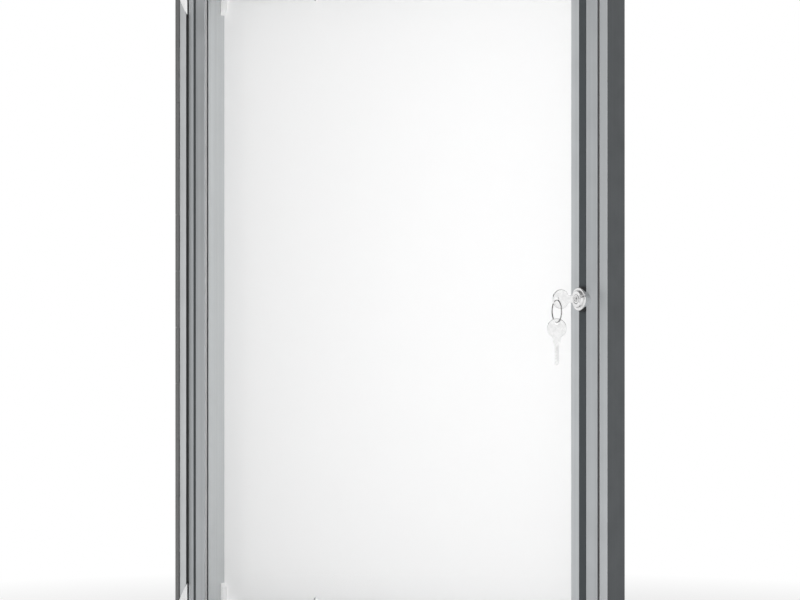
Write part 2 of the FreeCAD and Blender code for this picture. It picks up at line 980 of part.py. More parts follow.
def plain_key():
    """A key about the middle of its bow."""
    half_thick = key_thickness / 2
    through = Vector(1, 0, 0)
    bow = rod(Vector(-half_thick, 0, 0), through, key_thickness, bow_radius)
    shoulder = brick(key_thickness, key_shoulder_width, -shoulder_end, -bow_radius / 2)
    tip = -shoulder_end - blade_length
    blade = Part.Face(closed_wire(blade_outline(tip))).extrude(Vector(key_thickness, 0, 0))
    blade.translate(Vector(-half_thick, 0, 0))
    key = bow.fuse([shoulder, positive(blade)]).removeSplitter()
    hole_start = Vector(-half_thick - past, 0, bow_hole_offset)
    hole = rod(hole_start, through, key_thickness + 2 * past, bow_hole_radius)
    groove = brick(
        groove_depth,
        groove_width,
        tip - past,
        -shoulder_end,
        (key_thickness - groove_depth) / 2,
        groove_height,
    )
    return key.cut(hole).cut(groove)


def make_key_in_lock():
    """The key in the lock, its flat upright."""
    key = plain_key()
    key.translate(Vector(0, 0, collar_front + key_bow_distance))
    return in_lock_frame(key)


ring_drop = bow_hole_radius - ring_wire_radius - ring_rest_gap
hole_distance = collar_front + key_bow_distance + bow_hole_offset
ring_top = lock_origin + lock_out * hole_distance - upwards * ring_drop
ring_centre = ring_top - upwards * ring_radius
ring_angle = math.radians(ring_lean)
ring_normal = Vector(-math.sin(ring_angle), -math.cos(ring_angle), 0)
ring_bottom = ring_centre - upwards * ring_radius


def make_key_ring():
    """The ring, which hangs in the hole of the bow."""
    return Part.makeTorus(ring_radius, ring_wire_radius, ring_centre, ring_normal)


def make_spare_key():
    """The second key, which hangs from the ring."""
    turn = math.radians(spare_key_turn)
    flat_normal = Vector(math.sin(turn), -math.cos(turn), 0)
    width_axis = upwards.cross(flat_normal)
    bow_middle = ring_bottom - upwards * (ring_drop + bow_hole_offset)
    key = plain_key()
    key.Placement = axes_placement(bow_middle, flat_normal, width_axis, upwards)
    return key


def export(node, shape):
    """Writes one node, or a group of separate solids that share it."""
    if isinstance(shape, list):
        shape = Part.makeCompound(shape)
    shape.exportStep("parts/" + node + ".step")


os.makedirs("parts", exist_ok=True)

for side in ("left", "right", "top", "bottom"):
    export("case_" + side, make_case_bar(side))
    export("door_" + side, make_door_bar(side))
    export("bead_" + side, make_bead(side))

export("case_corner_keys", make_case_corner_keys())
export("corner_caps", make_corner_caps())
export("board_corner_clips", make_board_corner_clips())
export("rear_panel", back_plate(0, panel_thickness))
export("board_sheet", back_plate(panel_thickness, back_thickness))
export("panel_screws", [panel_screw(side, along, 0) for side, along in panel_screw_places()])
export("weather_seal", make_weather_seal())
export("hinge_case_leaf", make_hinge_case_leaf())
export("hinge_door_leaf", make_hinge_door_leaf())
export("hinge_packing", make_hinge_packing())
export("hinge_pin", make_hinge_pin())
export("case_rivets", make_case_rivets())
export("door_rivets", make_door_rivets())
export("door_corner_keys", make_door_corner_keys())
export("frame_strips", make_frame_strips())
export("door_glass", make_door_glass())
export("glass_gasket", ring_of(rectangle(glass_edge, frame_width, glass_front, gasket_front)))
export("glazing_tape", ring_of(rectangle(glass_edge, ledge_end, ledge, glass_back)))
export("lock_seat", make_lock_seat())
export("lock_cone", make_lock_cone())
export("lock_body", make_lock_body())
export("lock_washer", make_lock_washer())
export("lock_nut", make_lock_nut())
export("lock_plug", make_lock_plug())
export("lock_wafers", make_lock_wafers())
export("lock_cam", make_lock_cam())
export("cam_screw", make_cam_screw())
export("key_in_lock", make_key_in_lock())
export("key_ring", make_key_ring())
export("spare_key", make_spare_key())
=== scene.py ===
"""Finish of the lockable notice board: rounded edges, rivets, screws, lock, key ring and studio.

Lengths are in metres, in the frame of the solids: +Z up, front facing -Y, the wall in the plane y = 0.
Profiles and tables that say so are in millimetres.
"""

import json
import math

import bmesh
import bpy
from mathutils import Matrix, Vector


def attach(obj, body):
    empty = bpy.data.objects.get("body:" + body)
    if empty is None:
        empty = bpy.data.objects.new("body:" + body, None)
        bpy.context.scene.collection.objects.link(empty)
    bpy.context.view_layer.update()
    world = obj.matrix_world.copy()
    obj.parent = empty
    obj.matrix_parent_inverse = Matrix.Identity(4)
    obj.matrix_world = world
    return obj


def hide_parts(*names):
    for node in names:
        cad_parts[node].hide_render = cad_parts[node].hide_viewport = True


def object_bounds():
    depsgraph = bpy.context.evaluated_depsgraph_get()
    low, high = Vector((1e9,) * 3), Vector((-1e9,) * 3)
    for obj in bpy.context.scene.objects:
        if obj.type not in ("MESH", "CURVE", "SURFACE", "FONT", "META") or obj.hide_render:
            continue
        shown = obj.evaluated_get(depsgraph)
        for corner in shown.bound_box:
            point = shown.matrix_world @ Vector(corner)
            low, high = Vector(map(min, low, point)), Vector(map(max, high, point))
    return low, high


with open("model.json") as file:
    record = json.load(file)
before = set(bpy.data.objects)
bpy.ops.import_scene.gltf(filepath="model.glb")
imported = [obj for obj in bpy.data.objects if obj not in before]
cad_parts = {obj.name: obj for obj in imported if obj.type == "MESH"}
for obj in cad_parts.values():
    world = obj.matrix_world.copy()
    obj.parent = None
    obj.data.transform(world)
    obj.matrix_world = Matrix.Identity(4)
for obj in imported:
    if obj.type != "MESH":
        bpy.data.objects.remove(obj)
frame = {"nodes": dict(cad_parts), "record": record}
solid_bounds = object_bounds()

mm = 0.001
half_width = 250.0 * mm
half_height = 337.0 * mm
frame_width = 35.2 * mm
barrel_radius = 2.75 * mm
upwards = Vector((0.0, 0.0, 1.0))

joint_places = {
    joint["name"]: Vector(joint["pos_m"]) for joint in frame["record"]["behaviour"]["joints"]
}
hinge_axis = joint_places["door_hinge"]
lock_origin = joint_places["lock_turn"]


def leaning(angle):
    """Two level directions, along the front and out of it, turned towards the middle by an angle."""
    along = Vector((math.cos(angle), -math.sin(angle), 0.0))
    out = Vector((-math.sin(angle), -math.cos(angle), 0.0))
    return along, out


# The lock's own frame: its axis leans towards the middle of the board
lock_across, lock_out = leaning(math.radians(22.0))
lock_turned = Matrix((lock_across, upwards, lock_out)).transposed().to_4x4()
lock_frame = Matrix.Translation(lock_origin) @ lock_turned

# The ring hangs in the bow of the key in the lock, and the spare key hangs in the ring
key_bow_reach = 20.3 * mm
ring_reach = 24.6 * mm
ring_drop = 10.85 * mm
ring_radius = 10.0 * mm
spare_bow_drop = 15.15 * mm
ring_across, ring_normal = leaning(math.radians(32.0))
ring_centre = lock_origin + lock_out * ring_reach - upwards * ring_drop
key_bow_centre = lock_origin + lock_out * key_bow_reach
spare_bow_centre = ring_centre - upwards * spare_bow_drop

# Upright profiles carry lines that run up them, and level ones lines that run along them
upright = (1.0, 1.0, 0.004)
level = (0.004, 1.0, 1.0)

white = (1.0, 1.0, 1.0, 1.0)


def tint(red, green, blue):
    """A linear colour from its tones on screen, 0 to 255."""
    linear = []
    for tone in (red, green, blue):
        share = tone / 255
        if share > 0.04045:
            linear.append(((share + 0.055) / 1.055) ** 2.4)
        else:
            linear.append(share / 12.92)
    return (*linear, 1.0)


def grey(value):
    """A neutral colour from its tone on screen, 0 to 255."""
    return tint(value, value, value)


def shaded(colour, factor):
    """The same colour, lighter or darker by a factor."""
    return (*(min(1.0, part * factor) for part in colour[:3]), 1.0)


# Node trees

def add_node(tree, kind, values=None, **attributes):
    """A new node with its attributes and the plain values of its inputs, by name or number."""
    node = tree.nodes.new(kind)
    for name, value in attributes.items():
        setattr(node, name, value)
    for name, value in (values or {}).items():
        node.inputs[name].default_value = value
    return node


def feed(tree, socket, source):
    """Gives a socket either another node's output or a plain value."""
    if isinstance(source, bpy.types.NodeSocket):
        tree.links.new(source, socket)
    else:
        socket.default_value = source


def calculated(tree, operation, *sources):
    """The result of a calculation with outputs and plain values."""
    node = add_node(tree, "ShaderNodeMath", operation=operation)
    for socket, source in zip(node.inputs, sources):
        feed(tree, socket, source)
    return node.outputs["Value"]


def ranged(tree, value, start, end, low, high):
    """A value that goes from low to high as another one goes from start to end."""
    node = add_node(
        tree, "ShaderNodeMapRange",
        {"From Min": start, "From Max": end, "To Min": low, "To Max": high},
    )
    tree.links.new(value, node.inputs["Value"])
    return node.outputs["Result"]


def chosen(tree, factor, otherwise, value):
    """The value where the factor is one, and the other where it is nought."""
    mix = add_node(tree, "ShaderNodeMix", data_type="FLOAT")
    tree.links.new(factor, mix.inputs["Factor"])
    feed(tree, mix.inputs["A"], otherwise)
    feed(tree, mix.inputs["B"], value)
    return mix.outputs["Result"]


def blend_colours(tree, factor, first, second):
    """A colour between two, each a value or another node's output."""
    # The colour sockets share their names with others, so they go by number
    first_input, second_input, result = 6, 7, 2
    mix = add_node(tree, "ShaderNodeMix", data_type="RGBA")
    tree.links.new(factor, mix.inputs["Factor"])
    feed(tree, mix.inputs[first_input], first)
    feed(tree, mix.inputs[second_input], second)
    return mix.outputs[result]


def ray_mask(tree, *kinds):
    """One for the kinds of ray that are named, and nought for all others."""
    rays = add_node(tree, "ShaderNodeLightPath")
    mask = rays.outputs[kinds[0]]
    for kind in kinds[1:]:
        mask = calculated(tree, "MAXIMUM", mask, rays.outputs[kind])
    return mask


def mix_on_surface(tree, factor, first, second):
    """Puts a mixture of two shaders on the surface."""
    first_input, second_input = 1, 2
    mix = add_node(tree, "ShaderNodeMixShader")
    tree.links.new(factor, mix.inputs["Fac"])
    tree.links.new(first, mix.inputs[first_input])
    tree.links.new(second, mix.inputs[second_input])
    tree.links.new(mix.outputs["Shader"], tree.nodes["Material Output"].inputs["Surface"])


# Effects that several materials share

def new_effect(name, inputs, outputs):
    """An empty node group with its inputs, each with a default value, and its outputs."""
    tree = bpy.data.node_groups.new(name, "ShaderNodeTree")
    for label, (kind, default) in inputs.items():
        socket = tree.interface.new_socket(label, in_out="INPUT", socket_type=kind)
        socket.default_value = default
    for label, kind in outputs.items():
        tree.interface.new_socket(label, in_out="OUTPUT", socket_type=kind)
    return tree, tree.nodes.new("NodeGroupInput"), tree.nodes.new("NodeGroupOutput")


def add_noise(tree, vector, scale, detail, roughness):
    """A noise over a vector, at the scale of another node's output."""
    noise = add_node(tree, "ShaderNodeTexNoise", {"Detail": detail, "Roughness": roughness})
    tree.links.new(vector, noise.inputs["Vector"])
    tree.links.new(scale, noise.inputs["Scale"])
    return noise.outputs["Fac"]


def make_drawn_lines():
    """Fine and broad lines that a profile gets as it is drawn through its die."""
    tree, given, result = new_effect(
        "Drawn Lines",
        {
            "Vector": ("NodeSocketVector", (0.0, 0.0, 0.0)),
            "Stretch": ("NodeSocketVector", upright),
            "Fine": ("NodeSocketFloat", 5000.0),
            "Broad": ("NodeSocketFloat", 420.0),
        },
        {"Lines": "NodeSocketFloat", "Streaks": "NodeSocketFloat"},
    )
    stretched = add_node(tree, "ShaderNodeVectorMath", operation="MULTIPLY")
    tree.links.new(given.outputs["Vector"], stretched.inputs[0])
    tree.links.new(given.outputs["Stretch"], stretched.inputs[1])
    for label, scale in (("Lines", "Fine"), ("Streaks", "Broad")):
        noise = add_noise(
            tree, stretched.outputs["Vector"], given.outputs[scale], detail=3.0, roughness=0.6
        )
        tree.links.new(noise, result.inputs[label])
    return tree


def make_grain():
    """Fine irregular grain and broad clouds of a moulded, plated or painted surface."""
    tree, given, result = new_effect(
        "Grain",
        {
            "Vector": ("NodeSocketVector", (0.0, 0.0, 0.0)),
            "Fine": ("NodeSocketFloat", 3000.0),
            "Broad": ("NodeSocketFloat", 40.0),
        },
        {"Grain": "NodeSocketFloat", "Clouds": "NodeSocketFloat"},
    )
    for label, scale, detail in (("Grain", "Fine", 2.0), ("Clouds", "Broad", 4.0)):
        noise = add_noise(
            tree, given.outputs["Vector"], given.outputs[scale], detail=detail, roughness=0.55
        )
        tree.links.new(noise, result.inputs[label])
    return tree


def make_side_mask(name, across, up, margin, outside):
    """Mask of what lies outside, or else inside, of a rectangle round the middle, within a margin."""
    if outside:
        shift, test, joined = "SUBTRACT", "GREATER_THAN", "MAXIMUM"
    else:
        shift, test, joined = "ADD", "LESS_THAN", "MINIMUM"
    tree, given, result = new_effect(
        name,
        {
            "Vector": ("NodeSocketVector", (0.0, 0.0, 0.0)),
            "Half Width": ("NodeSocketFloat", across),
            "Half Height": ("NodeSocketFloat", up),
            "Margin": ("NodeSocketFloat", margin),
        },
        {"Mask": "NodeSocketFloat"},
    )
    size = add_node(tree, "ShaderNodeVectorMath", operation="ABSOLUTE")
    split = add_node(tree, "ShaderNodeSeparateXYZ")
    tree.links.new(given.outputs["Vector"], size.inputs[0])
    tree.links.new(size.outputs["Vector"], split.inputs["Vector"])
    tests = []
    for axis, limit in (("X", "Half Width"), ("Z", "Half Height")):
        edge = calculated(tree, shift, given.outputs[limit], given.outputs["Margin"])
        tests.append(calculated(tree, test, split.outputs[axis], edge))
    tree.links.new(calculated(tree, joined, *tests), result.inputs["Mask"])
    return tree


def make_barrel_mask():
    """Mask of what lies close round the hinge axis, where the hinge barrel gets painted shade."""
    tree, given, result = new_effect(
        "Barrel Shade Mask",
        {
            "Vector": ("NodeSocketVector", (0.0, 0.0, 0.0)),
            "Axis": ("NodeSocketVector", tuple(hinge_axis)),
            "Radius": ("NodeSocketFloat", barrel_radius),
        },
        {"Mask": "NodeSocketFloat"},
    )
    flat = add_node(tree, "ShaderNodeVectorMath", {1: (1.0, 1.0, 0.0)}, operation="MULTIPLY")
    span = add_node(tree, "ShaderNodeVectorMath", operation="DISTANCE")
    tree.links.new(given.outputs["Vector"], flat.inputs[0])
    tree.links.new(flat.outputs["Vector"], span.inputs[0])
    tree.links.new(given.outputs["Axis"], span.inputs[1])
    inside = calculated(tree, "LESS_THAN", span.outputs["Value"], given.outputs["Radius"])
    tree.links.new(inside, result.inputs["Mask"])
    return tree


drawn_lines = make_drawn_lines()
grain = make_grain()
# Painted shade: the outer side walls of the case, all round, get a dark tone that stands in for the
# shade on faces turned away from the light
painted_shade_sides = make_side_mask(
    "Painted Shade Sides", half_width, half_height, margin=0.06 * mm, outside=True
)
# Painted reflection: the inner walls of the case round the board get a lighter tone that stands in for
# the bright board mirrored in them
painted_reflection_walls = make_side_mask(
    "Painted Reflection Walls", half_width - frame_width, half_height - frame_width, margin=0.3 * mm, outside=False
)
# Painted shade: the hinge barrel is darker than its leaves, standing in for the shade on its side
# turned from the light
barrel_shade_mask = make_barrel_mask()


# Materials

def new_material(name, **values):
    """A material with its shader, whose plain values are given, and its object coordinates."""
    material = bpy.data.materials.new(name)
    material.use_nodes = True
    tree = material.node_tree
    shader = tree.nodes["Principled BSDF"]
    for label, value in values.items():
        shader.inputs[label.replace("_", " ")].default_value = value
    place = add_node(tree, "ShaderNodeTexCoord")
    return material, tree, shader, place.outputs["Object"]


def use_effect(tree, effect, vector, values=None):
    """Places an effect in a material."""
    node = add_node(tree, "ShaderNodeGroup", node_tree=effect)
    for label, value in (values or {}).items():
        node.inputs[label].default_value = value
    tree.links.new(vector, node.inputs["Vector"])
    return node


def spread_value(tree, noise, low, high):
    """A value that goes from low to high over the middle range of a noise."""
    return ranged(tree, noise, start=0.3, end=0.7, low=low, high=high)


def vary_colour(tree, factor, colour, dark, light):
    """The colour between a darker and a lighter share of itself."""
    return blend_colours(tree, factor, shaded(colour, dark), shaded(colour, light))


def finish_surface(tree, shader, colour, gloss, height, depth):
    """Gives the shader its varying colour and roughness, and a relief of some depth."""
    tree.links.new(colour, shader.inputs["Base Color"])
    tree.links.new(gloss, shader.inputs["Roughness"])
    bump = add_node(tree, "ShaderNodeBump", {"Strength": 1.0, "Distance": depth})
    tree.links.new(height, bump.inputs["Height"])
    tree.links.new(bump.outputs["Normal"], shader.inputs["Normal"])


def make_aluminium(name, colour, stretch, regions=()):
    """Satin anodised aluminium with drawn lines, in another tone where a mask says so: painted shade or
    a painted reflection.
    """
    material, tree, shader, place = new_material(name, Metallic=1.0)
    lines = use_effect(tree, drawn_lines, place, {"Stretch": stretch})
    soft = use_effect(tree, grain, place)
    streaks = spread_value(tree, lines.outputs["Streaks"], 0.0, 1.0)
    toned = vary_colour(tree, streaks, colour, dark=0.93, light=1.05)
    for mask, tone in regions:
        region = use_effect(tree, mask, place)
        other = vary_colour(tree, streaks, tone, dark=0.95, light=1.05)
        toned = blend_colours(tree, region.outputs["Mask"], toned, other)
    gloss = spread_value(tree, soft.outputs["Clouds"], 0.34, 0.44)
    finish_surface(tree, shader, toned, gloss, lines.outputs["Lines"], depth=0.004 * mm)
    return material


def make_moulding(name, colour, roughness, depth, fine=3000.0, shine=0.5):
    """Moulded plastic or rubber with a fine grain."""
    material, tree, shader, place = new_material(name, Specular_IOR_Level=shine)
    surface = use_effect(tree, grain, place, {"Fine": fine})
    clouds = spread_value(tree, surface.outputs["Clouds"], 0.0, 1.0)
    toned = vary_colour(tree, clouds, colour, dark=0.94, light=1.04)
    gloss = spread_value(tree, surface.outputs["Grain"], roughness - 0.06, roughness + 0.08)
    finish_surface(tree, shader, toned, gloss, surface.outputs["Grain"], depth)
    return material


def make_plated(name, colour, roughness):
    """Plated or polished metal with faint polishing marks."""
    material, tree, shader, place = new_material(name, Metallic=1.0)
    surface = use_effect(tree, grain, place, {"Fine": 1500.0, "Broad": 220.0})
    clouds = spread_value(tree, surface.outputs["Clouds"], 0.0, 1.0)
    toned = vary_colour(tree, clouds, colour, dark=0.92, light=1.04)
    gloss = spread_value(tree, surface.outputs["Grain"], roughness * 0.7, roughness * 1.4)
    finish_surface(tree, shader, toned, gloss, surface.outputs["Clouds"], depth=0.002 * mm)
    return material


def make_enamel(name, colour):
    """Baked enamel with the slight waves of a sprayed coat."""
    material, tree, shader, place = new_material(name, Coat_Weight=0.3, Coat_Roughness=0.12)
    surface = use_effect(tree, grain, place, {"Fine": 450.0, "Broad": 6.0})
    clouds = spread_value(tree, surface.outputs["Clouds"], 0.0, 1.0)
    toned = vary_colour(tree, clouds, colour, dark=0.998, light=1.002)
    gloss = spread_value(tree, surface.outputs["Clouds"], 0.294, 0.306)
    finish_surface(tree, shader, toned, gloss, surface.outputs["Grain"], depth=0.01 * mm)
    return material


def make_galvanised(name, colour):
    """Galvanised sheet with the spangle of its zinc."""
    material, tree, shader, place = new_material(name, Metallic=0.85)
    flakes = add_node(tree, "ShaderNodeTexVoronoi", {"Scale": 130.0, "Randomness": 1.0})
    tree.links.new(place, flakes.inputs["Vector"])
    split = add_node(tree, "ShaderNodeSeparateColor")
    tree.links.new(flakes.outputs["Color"], split.inputs["Color"])
    toned = vary_colour(tree, split.outputs["Red"], colour, dark=0.9, light=1.06)
    gloss = spread_value(tree, split.outputs["Green"], 0.34, 0.56)
    finish_surface(tree, shader, toned, gloss, split.outputs["Blue"], depth=0.01 * mm)
    return material


def make_glass(name):
    """Clear safety glass that lets light through to the board."""
    greenish = (0.9985, 0.9995, 0.999, 1.0)
    material, tree, shader, place = new_material(
        name, Transmission_Weight=1.0, IOR=1.45, Roughness=0.0
    )
    surface = use_effect(tree, grain, place, {"Fine": 60.0, "Broad": 8.0})
    clear = spread_value(tree, surface.outputs["Clouds"], 0.0, 1.0)
    tree.links.new(blend_colours(tree, clear, greenish, white), shader.inputs["Base Color"])
    open_air = add_node(tree, "ShaderNodeBsdfTransparent")
    passing = ray_mask(tree, "Is Shadow Ray", "Is Diffuse Ray")
    mix_on_surface(tree, passing, shader.outputs["BSDF"], open_air.outputs["BSDF"])
    return material


case_tone = tint(200, 203, 205)
door_tone = tint(187, 190, 192)
bead_tone = tint(194, 197, 199)
# Painted shade on the outer side walls, darker, and a painted reflection of the board on the inner
# walls, lighter
case_painted_light = ((painted_shade_sides, tint(84, 87, 89)), (painted_reflection_walls, tint(208, 211, 212)))
# Painted shade: the hinge barrel in a darker tone than the leaves of the same metal
barrel_shade_tone = ((barrel_shade_mask, grey(124)),)
coarse_depth = 0.02 * mm
smooth_depth = 0.01 * mm
rubber_grain = 1800.0

case_upright = make_aluminium("case_upright", case_tone, upright, case_painted_light)
case_level = make_aluminium("case_level", case_tone, level, case_painted_light)
door_upright = make_aluminium("door_upright", door_tone, upright)
door_level = make_aluminium("door_level", door_tone, level)
bead_upright = make_aluminium("bead_upright", bead_tone, upright)
bead_level = make_aluminium("bead_level", bead_tone, level)
hinge_metal = make_aluminium("hinge_metal", tint(205, 207, 208), upright, barrel_shade_tone)
rivet_metal = make_plated("rivet_metal", grey(178), 0.3)
dark_rubber = make_moulding(
    "dark_rubber", tint(71, 75, 77), 0.6, coarse_depth, rubber_grain, shine=0.15
)
black_rubber = make_moulding("black_rubber", grey(112), 0.7, coarse_depth, rubber_grain, shine=0.2)
grey_rubber = make_moulding("grey_rubber", grey(200), 0.6, coarse_depth, rubber_grain)
black_plastic = make_moulding("black_plastic", grey(30), 0.45, smooth_depth)
white_plastic = make_moulding("white_plastic", grey(250), 0.4, smooth_depth)
grey_plastic = make_moulding("grey_plastic", grey(150), 0.5, smooth_depth)
clear_tape = make_moulding("clear_tape", grey(225), 0.6, coarse_depth)
white_enamel = make_enamel("white_enamel", grey(250))
galvanised = make_galvanised("galvanised", tint(165, 169, 172))
pane_glass = make_glass("pane_glass")
chrome = make_plated("chrome", grey(235), 0.06)
key_metal = make_plated("key_metal", grey(243), 0.18)
ring_steel = make_plated("ring_steel", grey(165), 0.16)
cone_metal = make_aluminium("cone_metal", tint(249, 251, 252), upright)
zinc_steel = make_plated("zinc_steel", tint(176, 178, 176), 0.32)
brass = make_plated("brass", tint(214, 190, 120), 0.28)

finishes = {
    "case_left": case_upright,
    "case_right": case_upright,
    "case_top": case_level,
    "case_bottom": case_level,
    "case_corner_keys": grey_plastic,
    "corner_caps": white_plastic,
    "board_corner_clips": white_plastic,
    "rear_panel": galvanised,
    "board_sheet": white_enamel,
    "panel_screws": zinc_steel,
    "weather_seal": black_rubber,
    "hinge_case_leaf": hinge_metal,
    "hinge_pin": zinc_steel,
    "case_rivets": rivet_metal,
    "door_left": door_upright,
    "door_right": door_upright,
    "door_top": door_level,
    "door_bottom": door_level,
    "door_corner_keys": grey_plastic,
    "frame_strips": dark_rubber,
    "bead_left": bead_upright,
    "bead_right": bead_upright,
    "bead_top": bead_level,
    "bead_bottom": bead_level,
    "door_glass": pane_glass,
    "glass_gasket": grey_rubber,
    "glazing_tape": clear_tape,
    "hinge_door_leaf": hinge_metal,
    "hinge_packing": black_plastic,
    "door_rivets": rivet_metal,
    "lock_seat": black_plastic,
    "lock_cone": cone_metal,
    "lock_body": chrome,
    "lock_washer": zinc_steel,
    "lock_nut": zinc_steel,
    "lock_plug": chrome,
    "lock_wafers": brass,
    "lock_cam": zinc_steel,
    "cam_screw": zinc_steel,
    "key_in_lock": key_metal,
    "key_ring": ring_steel,
    "spare_key": key_metal,
}

body_of_node = {
    node: body
    for body, members in frame["record"]["behaviour"]["bodies"].items()
    for node in members
}


# Pieces

replaced = set()


def new_piece(name, mesh, material):
    """An object of the scene with one material."""
    piece = bpy.data.objects.new(name, mesh)
    bpy.context.scene.collection.objects.link(piece)
    piece.data.materials.clear()
    piece.data.materials.append(material)
    return piece


def bake(piece):
    """Turns the piece's modifiers into a plain mesh."""
    graph = bpy.context.evaluated_depsgraph_get()
    mesh = bpy.data.meshes.new_from_object(piece.evaluated_get(graph))
    piece.modifiers.clear()
    piece.data = mesh


def stands_for(piece, node):
    """Gives the piece the body and the place of one node."""
    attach(piece, body_of_node[node])
    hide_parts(node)
    replaced.add(node)


# Rounded edges

sharp_angle = math.radians(18.0)
flat_angle = math.radians(0.3)
merge_distance = 0.0005 * mm
bow_rim_distance = 8.79 * mm
bow_rim_tolerance = 0.2 * mm
share_off_the_rim = 0.25


def weigh_rim(cleaned, bow_centre):
    """Weighs the sharp edges for rounding: in full on the rim of a key's bow, elsewhere by a share."""
    weights = cleaned.edges.layers.float.new("bevel_weight_edge")
    for edge in cleaned.edges:
        if not edge.is_manifold or edge.calc_face_angle() < sharp_angle:
            continue
        middle = (edge.verts[0].co + edge.verts[1].co) / 2
        off_the_rim = abs((middle - bow_centre).length - bow_rim_distance)
        edge[weights] = 1.0 if off_the_rim < bow_rim_tolerance else share_off_the_rim


def finish_edges(node, width, segments=2, bow_centre=None):
    """Replaces a node by a copy whose sharp edges are rounded."""
    mesh = frame["nodes"][node].data.copy()
    cleaned = bmesh.new()
    cleaned.from_mesh(mesh)
    bmesh.ops.remove_doubles(cleaned, verts=cleaned.verts, dist=merge_distance)
    bmesh.ops.dissolve_limit(
        cleaned, angle_limit=flat_angle, verts=cleaned.verts, edges=cleaned.edges
    )
    if bow_centre:
        weigh_rim(cleaned, bow_centre)
    cleaned.to_mesh(mesh)
    cleaned.free()
    if "custom_normal" in mesh.attributes:
        mesh.attributes.remove(mesh.attributes["custom_normal"])
    piece = new_piece(node + "_finished", mesh, finishes[node])
    rounding = piece.modifiers.new("rounding", "BEVEL")
    rounding.width = width
    rounding.segments = segments
    rounding.limit_method = "WEIGHT" if bow_centre else "ANGLE"
    rounding.angle_limit = sharp_angle
    rounding.use_clamp_overlap = False
    rounding.harden_normals = True
    mesh.shade_smooth()
    bake(piece)
    stands_for(piece, node)


# Width of each rounding in millimetres
roundings = {
    "case_left": 0.35,
    "case_right": 0.35,
    "case_top": 0.35,
    "case_bottom": 0.35,
    "door_left": 0.4,
    "door_right": 0.4,
    "door_top": 0.4,
    "door_bottom": 0.4,
    "bead_left": 0.3,
    "bead_right": 0.3,
    "bead_top": 0.3,
    "bead_bottom": 0.3,
    "corner_caps": 0.14,
    "board_corner_clips": 0.4,
    "hinge_door_leaf": 0.08,
    "hinge_case_leaf": 0.08,
    "weather_seal": 0.3,
    "lock_seat": 0.2,
    "lock_cone": 0.2,
    "lock_cam": 0.2,
    "lock_nut": 0.15,
    "lock_washer": 0.12,
    "cam_screw": 0.12,
    "rear_panel": 0.3,
    "board_sheet": 0.15,
    "case_corner_keys": 0.4,
    "door_corner_keys": 0.4,
    "hinge_packing": 0.1,
}
key_rounding = 0.6 * mm
key_segments = 3

for node, width in roundings.items():
    finish_edges(node, width * mm)

for node, bow_centre in (("key_in_lock", key_bow_centre), ("spare_key", spare_bow_centre)):
    finish_edges(node, key_rounding, key_segments, bow_centre)


# Turned and repeated pieces

turned_crease = math.radians(32.0)


def turned(name, profile, sides, closed=False):
    """A mesh turned about its own Z axis, from pairs of radius and height in millimetres."""
    points = []
    rings = []
    for radius, height in profile:
        count = sides if radius > 0 else 1
        ring = []
        for step in range(count):
            turn = 2 * math.pi * step / count
            ring.append(len(points))
            points.append(Vector((radius * math.cos(turn), radius * math.sin(turn), height)) * mm)
        rings.append(ring)
    faces = []
    following = rings[1:] + rings[:1] if closed else rings[1:]
    for low, high in zip(rings, following):
        for step in range(sides):
            after = (step + 1) % sides
            corners = [
                low[step % len(low)],
                low[after % len(low)],
                high[after % len(high)],
                high[step % len(high)],
            ]
            faces.append(list(dict.fromkeys(corners)))
    mesh = bpy.data.meshes.new(name)
    mesh.from_pydata(points, [], faces)
    mesh.shade_smooth()
    mesh.set_sharp_from_angle(angle=turned_crease)
    return mesh


def threaded(radius, depth, low, high, pitch):
    """Pairs of radius and height of a screw thread, from low to high."""
    pairs = []
    count = int((high - low) / pitch)
    for step in range(count):
        start = low + step * pitch
        pairs += [(radius - depth, start), (radius, start + 0.5 * pitch)]
    return pairs + [(radius - depth, low + count * pitch)]


def make_row():
    """Geometry nodes that add a row of equal pieces to what a mesh already holds."""
    tree = bpy.data.node_groups.new("Row", "GeometryNodeTree")
    for label, kind in (
        ("Geometry", "NodeSocketGeometry"),
        ("Piece", "NodeSocketObject"),
        ("Count", "NodeSocketInt"),
        ("Start", "NodeSocketVector"),
        ("Step", "NodeSocketVector"),
        ("Material", "NodeSocketMaterial"),
    ):
        tree.interface.new_socket(label, in_out="INPUT", socket_type=kind)
    tree.interface.new_socket("Geometry", in_out="OUTPUT", socket_type="NodeSocketGeometry")
    given = tree.nodes.new("NodeGroupInput")
    result = tree.nodes.new("NodeGroupOutput")
    line = add_node(tree, "GeometryNodeMeshLine", mode="OFFSET")
    tree.links.new(given.outputs["Count"], line.inputs["Count"])
    tree.links.new(given.outputs["Start"], line.inputs["Start Location"])
    tree.links.new(given.outputs["Step"], line.inputs["Offset"])
    item = add_node(tree, "GeometryNodeObjectInfo")
    tree.links.new(given.outputs["Piece"], item.inputs["Object"])
    copies = add_node(tree, "GeometryNodeInstanceOnPoints")
    tree.links.new(line.outputs["Mesh"], copies.inputs["Points"])
    tree.links.new(item.outputs["Geometry"], copies.inputs["Instance"])
    real = add_node(tree, "GeometryNodeRealizeInstances")
    tree.links.new(copies.outputs["Instances"], real.inputs["Geometry"])
    dressed = add_node(tree, "GeometryNodeSetMaterial")
    tree.links.new(real.outputs["Geometry"], dressed.inputs["Geometry"])
    tree.links.new(given.outputs["Material"], dressed.inputs["Material"])
    joined = add_node(tree, "GeometryNodeJoinGeometry")
    tree.links.new(given.outputs["Geometry"], joined.inputs["Geometry"])
    tree.links.new(dressed.outputs["Geometry"], joined.inputs["Geometry"])
    tree.links.new(joined.outputs["Geometry"], result.inputs["Geometry"])
    return tree


row_of_pieces = make_row()


